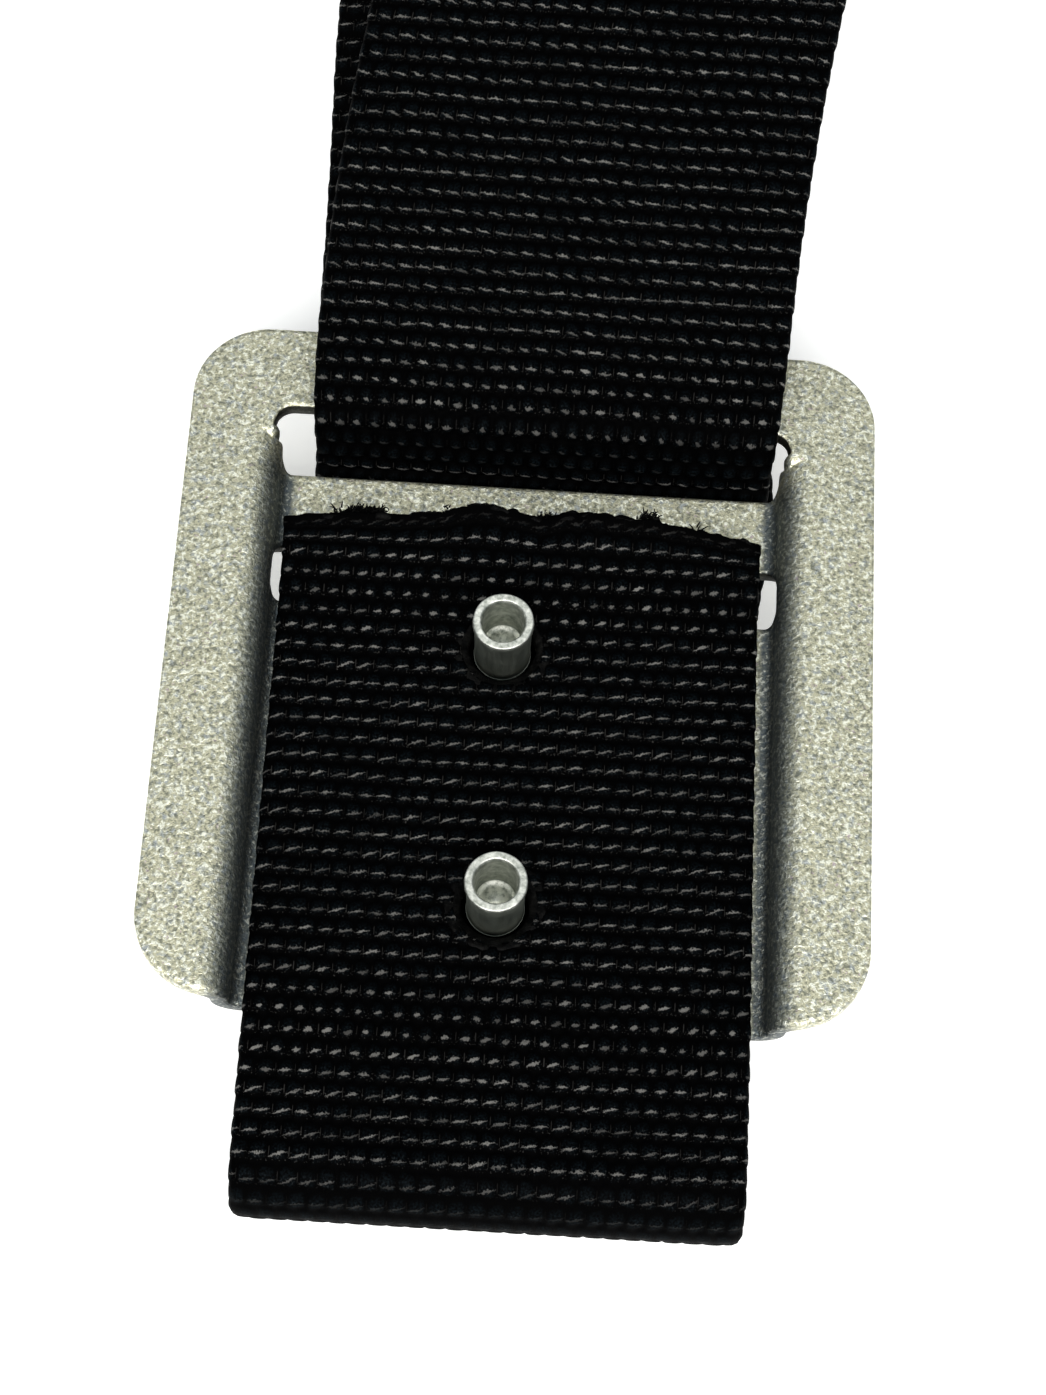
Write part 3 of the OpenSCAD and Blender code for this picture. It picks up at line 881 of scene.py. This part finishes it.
def rim_wear_and_glint_at(points, centre, top):
    """How much paler a stud is painted at each point: 1 on the bore's floor and 0.3 on its wall, both a
    painted reflection, and 0.62 on the rim, wear and a painted highlight.
    """
    radius, height = np.hypot(*(points[:, :2] - centre).T), points[:, 2]
    bore_floor = (radius < 2.0) & (height < top - 4.5) & (height > FLOOR_Z)
    bore_wall = 0.30 * ((radius < 2.4) & (height > top - 5.4) & (height < top - 0.2))
    rim = 0.62 * ramp(height, top - 0.7, top - 0.1)
    return np.maximum(rim, np.maximum(bore_floor, bore_wall))


def stud_profile(low, high):
    """Head, foot, shank, rolled rim, bore and drilled cone, from the stud's own lowest and highest points."""
    foot_top = FLOOR_Z + SHEET_T
    head_r, foot_r, shank_r, bore_r, bore_h = 6.0, 3.7, 3.05, 2.125, 5.4
    return rounded_profile(
        [
            [0, low, 0],
            [head_r * 0.6, low, 1.6],
            [head_r, low + 1.08, 0.5],
            [head_r, low + 1.8, 0.15],
            [foot_r, low + 1.8, 0.1],
            [foot_r, foot_top, 0.2],
            [shank_r - 0.2, foot_top, 0.1],
            [shank_r - 0.12, high - 2.2, 1.0],
            [shank_r + 0.1, high - 0.5, 0.4],
            [shank_r + 0.02, high, 0.16],
            [bore_r + 0.22, high, 0.12],
            [bore_r, high - 0.4, 0.3],
            [bore_r, high - bore_h, 0.3],
            [1.5, high - bore_h - 0.35, 0.15],
            [0.9, high - bore_h - 0.9, 0.4],
            [0, high - bore_h - 1.27, 0],
        ]
    )


studs = {}
for name, (low, high) in stud_boxes.items():
    profile = stud_profile(low[2], high[2])
    studs[name] = spin(name + "_turned", profile, stud_places[name], seed=len(studs) + 3)

WASHER_BORE_R, WASHER_R, WASHER_ROUND = 3.8, 7, 0.15


def washer(name, low, high):
    """A flat ring: a rounded rectangle of radius and height, closed on itself and turned about its middle."""
    start = [WASHER_BORE_R, low[2] + 0.4, 0]
    corners = [[r, z, WASHER_ROUND] for r, z in ((WASHER_BORE_R, low[2]), (WASHER_R, low[2]))]
    corners += [[r, z, WASHER_ROUND] for r, z in ((WASHER_R, high[2]), (WASHER_BORE_R, high[2]))]
    loop = rounded_profile([start, *corners, start])[:-1]
    x, y = ((low + high) / 2)[:2]
    angle = np.linspace(0, math.tau, TURNED_SIDES, endpoint=False)
    radius, height = loop[:, :1], loop[:, 1:] + 0 * angle
    ring = np.stack([x + radius * np.cos(angle), y + radius * np.sin(angle), height], -1)
    faces = grid_faces(len(loop) + 1, TURNED_SIDES, True) % (len(loop) * TURNED_SIDES)
    return mesh_object(name + "_turned", ring.reshape(-1, 3), faces)


washers = {name: washer(name, low, high) for name, (low, high) in washer_boxes.items()}

# %% [markdown]
# ## Shader maths as plain expressions
# A material's pattern is arithmetic on sockets. Placing Math nodes by hand hides that arithmetic, so
# a small class wraps a socket and turns +, -, *, /, ** and abs into nodes, and one method makes any
# other node from its type, its settings and the values or links of its sockets.

# %% A small language for node trees
class Signal:
    """A socket whose arithmetic adds Math nodes."""

    def __init__(self, finish, socket):
        self.finish, self.socket = finish, socket

    def __add__(self, other):
        return self.finish.maths("ADD", self, other)

    def __sub__(self, other):
        return self.finish.maths("SUBTRACT", self, other)

    def __rsub__(self, other):
        return self.finish.maths("SUBTRACT", other, self)

    def __mul__(self, other):
        return self.finish.maths("MULTIPLY", self, other)

    def __truediv__(self, other):
        return self.finish.maths("DIVIDE", self, other)

    def __pow__(self, other):
        return self.finish.maths("POWER", self, other)

    def __abs__(self):
        return self.finish.maths("ABSOLUTE", self)

    __radd__ = __add__
    __rmul__ = __mul__


class Finish:
    """A material and the means to add nodes to it."""

    def __init__(self, name):
        self.material = bpy.data.materials.new(name)
        self.material.use_nodes = True
        self.tree = self.material.node_tree
        self.tree.nodes.clear()
        self.surface = self.tree.nodes.new("ShaderNodeBsdfPrincipled")
        output = self.tree.nodes.new("ShaderNodeOutputMaterial")
        self.tree.links.new(self.surface.outputs[0], output.inputs["Surface"])

    def node(self, kind, settings=None, sockets=None, out=0):
        """Adds a node: its settings first, then its sockets, each a number, a colour or another signal."""
        made = self.tree.nodes.new(kind)
        for key, value in (settings or {}).items():
            setattr(made, key, value)
        self.feed(made, sockets)
        return Signal(self, made.outputs[out])

    def feed(self, made, sockets):
        """Sets or links each named or numbered socket of a node."""
        for key, value in (sockets or {}).items():
            socket = made.inputs[key]
            if isinstance(value, Signal):
                self.tree.links.new(value.socket, socket)
            else:
                socket.default_value = value

    def coordinates(self, kind="Object"):
        """The piece's own Object or UV coordinates."""
        return self.node("ShaderNodeTexCoord", out=kind)

    def attribute(self, name):
        """A number that is stored on the mesh's points."""
        return self.node("ShaderNodeAttribute", {"attribute_name": name}, out="Fac")

    def maths(self, operation, *values):
        """One Math node on one or two values."""
        return self.node("ShaderNodeMath", {"operation": operation}, dict(enumerate(values)))

    def limit(self, value):
        """The same signal, kept between 0 and 1."""
        return self.node("ShaderNodeClamp", {}, {"Value": value})

    def mix(self, factor, first, second):
        """A colour between two colours."""
        return self.node("ShaderNodeMix", {"data_type": "RGBA"}, {0: factor, 6: first, 7: second}, out=2)

    def noise(self, where, scale, detail=3, roughness=0.6, distortion=0.0):
        """Cloudy noise from 0 to 1, with its middle near 0.5."""
        sockets = {"Vector": where, "Scale": scale, "Detail": detail, "Roughness": roughness}
        return self.node("ShaderNodeTexNoise", {}, {**sockets, "Distortion": distortion})

    def stretched(self, where, scale):
        """Coordinates multiplied by a scale for each axis."""
        return self.node("ShaderNodeMapping", {"vector_type": "POINT"}, {"Vector": where, "Scale": scale})

    def bump(self, height, distance, strength):
        """A normal tilted by a height, where 1 stands for a distance in metres."""
        return self.node("ShaderNodeBump", {}, {"Height": height, "Distance": distance, "Strength": strength})

    def on(self, **sockets):
        """Sets or links sockets of the surface shader, named with underscores for spaces."""
        self.feed(self.surface, {k.replace("_", " "): v for k, v in sockets.items()})


print("finishes: Signal and Finish are ready")

# %% [markdown]
# ## Black nylon
# The webbing is black nylon: nearly no colour of its own, and a short bright dash painted on each float as
# a highlight, where the light would catch its yarn. The UV map counts the weave's columns and rows, so
# each cell can draw its own dash, with a little luck in its slant and brightness, and the dashes follow
# the strap round the fold and the roll. The relief that shaped the floats is stored on every point, so
# their tops can be painted a little paler and bluer than the grooves, as a reflection. Fine filaments are
# a noise stretched along the belt.

# %% Webbing finish
nylon = Finish("black_nylon_weave")
coords = nylon.coordinates("UV")
count_u = nylon.node("ShaderNodeSeparateXYZ", {}, {0: coords}, out="X")
count_v = nylon.node("ShaderNodeSeparateXYZ", {}, {0: coords}, out="Y")
relief_value = nylon.attribute("relief")
dots_value = nylon.attribute("dots")
row = nylon.maths("FLOOR", count_v)
odd = nylon.maths("FLOORED_MODULO", row, 2.0)
shifted = count_u + odd * 0.5
column = nylon.maths("FLOOR", shifted)
across = shifted - column - 0.5
along = count_v - row


def cell_luck(x, y, z):
    """A random number from 0 to 1 that is the same all over one cell of the weave."""
    cell = nylon.node("ShaderNodeCombineXYZ", {}, {"X": x, "Y": y, "Z": z})
    return nylon.node("ShaderNodeTexWhiteNoise", {"noise_dimensions": "3D"}, {"Vector": cell}, out="Value")


luck = cell_luck(column, row, 0.0)
second_luck = cell_luck(row, column, 7.0)
ragged = nylon.noise(coords, 3.1, 3, 0.7)
slow_patch = nylon.noise(coords, 0.23, 3, 0.6)

# A dash: a painted highlight, a slanted, tapered stroke low on each float, shorter and thicker where the
# floats are dots
painted_sheen_value = nylon.attribute("painted_sheen")
jagged = nylon.noise(coords, 9.0, 2, 0.6)
on_tail = nylon.limit(count_v - (s_end - 80) / ROW_PITCH)
slant = on_tail * 0.34 - 0.17 + (odd - 0.5) * 0.08 + (second_luck - 0.5) * 0.30
centre = 0.27 + across * slant + (ragged - 0.5) * 0.30 + (jagged - 0.5) * 0.22 + (luck - 0.5) * 0.08
half_length = 0.46 - dots_value * 0.24 + (second_luck - 0.5) * 0.14
reach = nylon.limit(1.0 - abs(across + (luck - 0.5) * 0.12) / half_length)
half_height = (0.045 + dots_value * 0.05 + jagged * 0.06) * reach**0.5
off_line = abs(along - centre)
dash = nylon.limit((half_height - off_line) * 20.0) * (0.25 + luck * 0.75)

# Painted highlights too: ticks stand between some neighbouring floats, and specks lie low in each cell
tick_place = 0.5 - abs(across)
tick = nylon.limit((0.035 - tick_place) * 40.0) * nylon.limit((0.24 - abs(along - 0.42)) * 12.0)
tick = tick * nylon.limit((second_luck - 0.45) * 3.0) * 0.14
specks = nylon.limit((jagged - 0.60) * 7.0) * nylon.limit((0.55 - along) * 4.0) * 0.26
# The painted highlight: dashes, ticks and specks together, made patchy, and weaker where the painted sheen
# along the belt is turned down
sheen = nylon.limit(dash + tick + specks) * (0.45 + slow_patch) * painted_sheen_value

filament = nylon.noise(nylon.stretched(coords, (17.0, 2.2, 1.0)), 1.0, 2, 0.6)
crown = nylon.limit((relief_value - 0.45) * 2.0)
# The grooves' near black, a faint blue painted on the floats' tops as a reflection, and the grey of the
# painted highlights
deep, painted_top_reflection, bright = (0.0001, 0.0001, 0.0002, 1), (0.0034, 0.0058, 0.0076, 1), (0.15, 0.145, 0.137, 1)
body_colour = nylon.mix(nylon.limit(crown * (jagged - 0.40) * 4.0), deep, painted_top_reflection)
nylon.on(
    Base_Color=nylon.mix(nylon.limit(sheen * (0.75 + filament * 0.5)), body_colour, bright),
    Roughness=nylon.limit(0.60 - crown * 0.10 + filament * 0.14),
    Normal=nylon.bump(filament * 0.7 + ragged * 0.3, 0.0001, 0.5),
    Specular_IOR_Level=0.015,
)
print("webbing finish:", len(nylon.tree.nodes), "nodes")

# %% Melted nylon finish
melted = Finish("melted_nylon")
place = melted.coordinates()
lumps = melted.noise(place, 900, 4, 0.65)
crust = melted.noise(place, 2600, 3, 0.6)
deep, pale_lump = (0.0003, 0.0003, 0.0004, 1), (0.0060, 0.0058, 0.0054, 1)
melted.on(
    Base_Color=melted.mix(melted.limit((lumps - 0.45) * 3.5), deep, pale_lump),
    Roughness=0.34 + crust * 0.32,
    Normal=melted.bump(lumps * 0.7 + crust * 0.3, 0.0004, 0.8),
    Specular_IOR_Level=0.05,
)
print("melted finish:", len(melted.tree.nodes), "nodes")

# %% [markdown]
# ## Zinc-plated steel
# The plate has a crystalline plating: a fine grain that sparkles, with a faint yellow, purple and blue
# cast from the passivation. One noise gives the grain its bumps, its bright flecks and its dark pits,
# with a finer one mixed into the bumps. Another carries the cast, and a slow one changes the roughness
# a little. Two numbers stored on the mesh paint shade on the slots' cut edges and the bent walls. The
# studs are turned, so theirs is a smoother finish, with fine tool lines, a rim paler from wear and a
# painted highlight, and a bore painted bright as a reflection.

# %% Plate finish
steel = Finish("grained_zinc_plate")
place = steel.coordinates()
cut_shade_value = steel.attribute("cut_edge_shade")
wall_shade_value = steel.attribute("bend")
grain = steel.noise(place, 2300, 2, 0.6, 0.35)
fine = steel.noise(place, 6500, 2, 0.5)
tint = steel.noise(place, 1500, 2, 0.6)
slow = steel.noise(place, 60, 3, 0.5)
cut_shade_value = steel.limit((cut_shade_value - 0.62) * 2.7)
fleck = steel.limit((grain - 0.54) * 11.0)
pit = steel.limit((0.47 - grain) * 8.0)
warm, blue, purple = (0.62, 0.60, 0.44, 1), (0.47, 0.50, 0.51, 1), (0.56, 0.46, 0.50, 1)
cast = steel.mix(steel.limit((tint - 0.5) * 5.0), warm, blue)
cast = steel.mix(steel.limit((0.36 - tint) * 9.0), cast, purple)
pit_grey, fleck_white = (0.20, 0.21, 0.17, 1), (1.0, 1.0, 0.86, 1)
# Colours of two painted shades: a dark blue-grey for the bent walls, a near black for the slots' cut edges
wall_shade_blue, cut_shade_brown = (0.055, 0.075, 0.095, 1), (0.045, 0.045, 0.036, 1)
cast = steel.mix(pit * 0.8, cast, pit_grey)
cast = steel.mix(fleck, cast, fleck_white)
# Painted shade: the bent walls turn dark blue-grey, a little less on the flecks
cast = steel.mix(wall_shade_value * (0.86 - fleck * 0.25), cast, wall_shade_blue)
# The slots' cut edges get their painted shade, a near black
steel.on(
    Base_Color=steel.mix(cut_shade_value * 0.96, cast, cut_shade_brown),
    Metallic=1.0,
    Roughness=steel.limit(0.46 - fleck * 0.10 + slow * 0.08),
    Normal=steel.bump(grain * 0.75 + fine * 0.25, 0.00022, 0.85),
)
print("plate finish:", len(steel.tree.nodes), "nodes")

# %% Stud finish
zinc = Finish("turned_zinc")
place = zinc.coordinates()
tool = zinc.noise(zinc.stretched(place, (350, 350, 2600)), 1.0, 2, 0.6)
streak = zinc.noise(zinc.stretched(place, (1400, 1400, 120)), 1.0, 3, 0.6)
bloom = zinc.noise(place, 420, 4, 0.6)
rim_wear_and_glint = zinc.attribute("rim_wear_and_glint")
mottle = zinc.noise(place, 1500, 3, 0.65)
# Paler zinc where the rim is worn and painted with a highlight, and where the bore is painted with a bright
# reflection, made patchy by a noise
rim_wear_and_glint_patchy = zinc.limit(rim_wear_and_glint * (0.85 + (mottle - 0.5) * 4.0))
dull, clear, wear_and_glint_zinc = (0.17, 0.20, 0.18, 1), (0.40, 0.42, 0.36, 1), (1.0, 1.0, 0.93, 1)
zinc.on(
    Base_Color=zinc.mix(rim_wear_and_glint_patchy, zinc.mix(bloom, dull, clear), wear_and_glint_zinc),
    Metallic=1.0,
    Roughness=zinc.limit(0.30 + streak * 0.18 + bloom * 0.14),
    Normal=zinc.bump(tool * 0.5 + streak * 0.5, 0.00004, 0.5),
)
print("stud finish:", len(zinc.tree.nodes), "nodes")

# %% [markdown]
# ## Hand out the finishes and the bodies
# Each new piece gets its finish. The webbing's stretches, the plate, the studs and the washers ride on the
# belt's body, and the melted pieces on the tail's. The webbing, plate, studs and washers replace their
# imported parts. The near fold and the start of the tail are cloth that crosses the joint; they stay in
# place in the world frame, on no body.

# %% Ride and replace
belt_straps = (front_strap, upper_strap, outer_strap, core_strap, return_strap)
melted_pieces = (melted_lip, upper_rim, lower_rim, end_fray, rim_fray)
for piece in (*belt_straps, fold_strap, tail_strap):
    piece.data.materials.append(nylon.material)
for piece in melted_pieces:
    piece.data.materials.append(melted.material)
plate.data.materials.append(steel.material)
for piece in (*studs.values(), *washers.values()):
    piece.data.materials.append(zinc.material)

for piece in belt_straps:
    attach(piece, "belt_and_buckle")
    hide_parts("belt_webbing")
for piece in (plate, *studs.values(), *washers.values()):
    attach(piece, "belt_and_buckle")
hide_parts("buckle_plate")
for name, piece in {**studs, **washers}.items():
    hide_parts(name)

BLEND_LOW_Z, BLEND_HIGH_Z = 2.7, 9.3
LOW, HIGH = (0, FOLD_Y * MM, BLEND_LOW_Z * MM), (0, FOLD_Y * MM, BLEND_HIGH_Z * MM)
for piece in (fold_strap, tail_strap):
    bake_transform(piece)
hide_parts("belt_webbing")
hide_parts("belt_tail")
for piece in melted_pieces:
    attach(piece, "tail")
print("blended across the joint:", fold_strap.name, "and", tail_strap.name)

# %% [markdown]
# ## Floor, light and camera
# The belt lies on a plain pale floor that glows faintly, as a light table does, so that it stays white
# where it shows through the slots. A wide, high panel in front gives most of the light, a weaker one
# behind fills in, and the pale blue world softens the shadows.

# %% Floor
FLOOR_REACH = 4.0
edge = np.linspace(-FLOOR_REACH, FLOOR_REACH, 9)
fx, fy = np.meshgrid(edge, edge)
floor_points = np.stack([fx.ravel(), fy.ravel(), fx.ravel() * 0], -1) / MM
floor = mesh_object("studio_floor", floor_points, grid_faces(9, 9))
pale = Finish("pale_floor")
cloudy = pale.noise(pale.coordinates(), 3, 2, 0.5)
pale.on(
    Base_Color=pale.mix(cloudy, (0.90, 0.90, 0.90, 1), (0.93, 0.93, 0.93, 1)),
    Roughness=0.9,
    Specular_IOR_Level=0.1,
    Emission_Color=(1, 1, 1, 1),
    Emission_Strength=0.45,
)
floor.data.materials.append(pale.material)
floor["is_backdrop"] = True


# %% Lights
def panel(name, place, aim, size, power, colour):
    """A rectangular light at a place, turned to face a point."""
    data = bpy.data.lights.new(name, "AREA")
    data.shape, data.size, data.size_y = "RECTANGLE", *size
    data.energy, data.color = power, colour
    lamp = bpy.data.objects.new(name, data)
    lamp.location = place
    lamp.rotation_euler = (Vector(aim) - Vector(place)).to_track_quat("-Z", "Y").to_euler()
    bpy.context.scene.collection.objects.link(lamp)


panel("front_panel", (0.0, -0.72, 0.86), (0, 0, 0.01), (1.3, 0.45), 16.6, (1.0, 0.985, 0.95))
panel("rear_top_panel", (0.0, 0.55, 1.15), (0, 0.02, 0), (1.3, 0.9), 3.6, (1.0, 1.0, 0.96))
world = bpy.data.worlds.new("studio_world")
world.use_nodes = True
sky = world.node_tree.nodes["Background"].inputs
sky["Color"].default_value = (0.86, 0.95, 1.0, 1)
sky["Strength"].default_value = 0.32
bpy.context.scene.world = world
bpy.context.scene.view_settings.view_transform = "Standard"
bpy.context.scene.view_settings.look = "None"
print("lights:", ", ".join(light.name for light in bpy.data.lights))

# %% [markdown]
# ## Camera and sizes
# A long lens looks down on the plate from close by, tilted to see along the belt and turned a little.
# Last, the sizes of the imported model's box and of the new pieces' box are printed, in millimetres.

# %% Camera
camera_data = bpy.data.cameras.new("view")
camera_data.sensor_fit = "HORIZONTAL"
camera_data.sensor_width = 36
camera_data.lens = 95.616826
camera = bpy.data.objects.new("view", camera_data)
camera.location = (0.001135, -0.11269, 0.27425)
camera.rotation_euler = (0.3947, -0.0210, 0.0550)
bpy.context.scene.collection.objects.link(camera)
bpy.context.scene.camera = camera
print("camera:", round(camera_data.lens, 1), "mm lens")

# %% Print the two boxes and finish
low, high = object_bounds()
sizes = {"cad": [list(cad_low), list(cad_high)], "visual": [list(low), list(high)]}
for kind, (low, high) in sizes.items():
    print(kind, "size, mm:", np.round((np.array(high) - np.array(low)) / MM, 1))
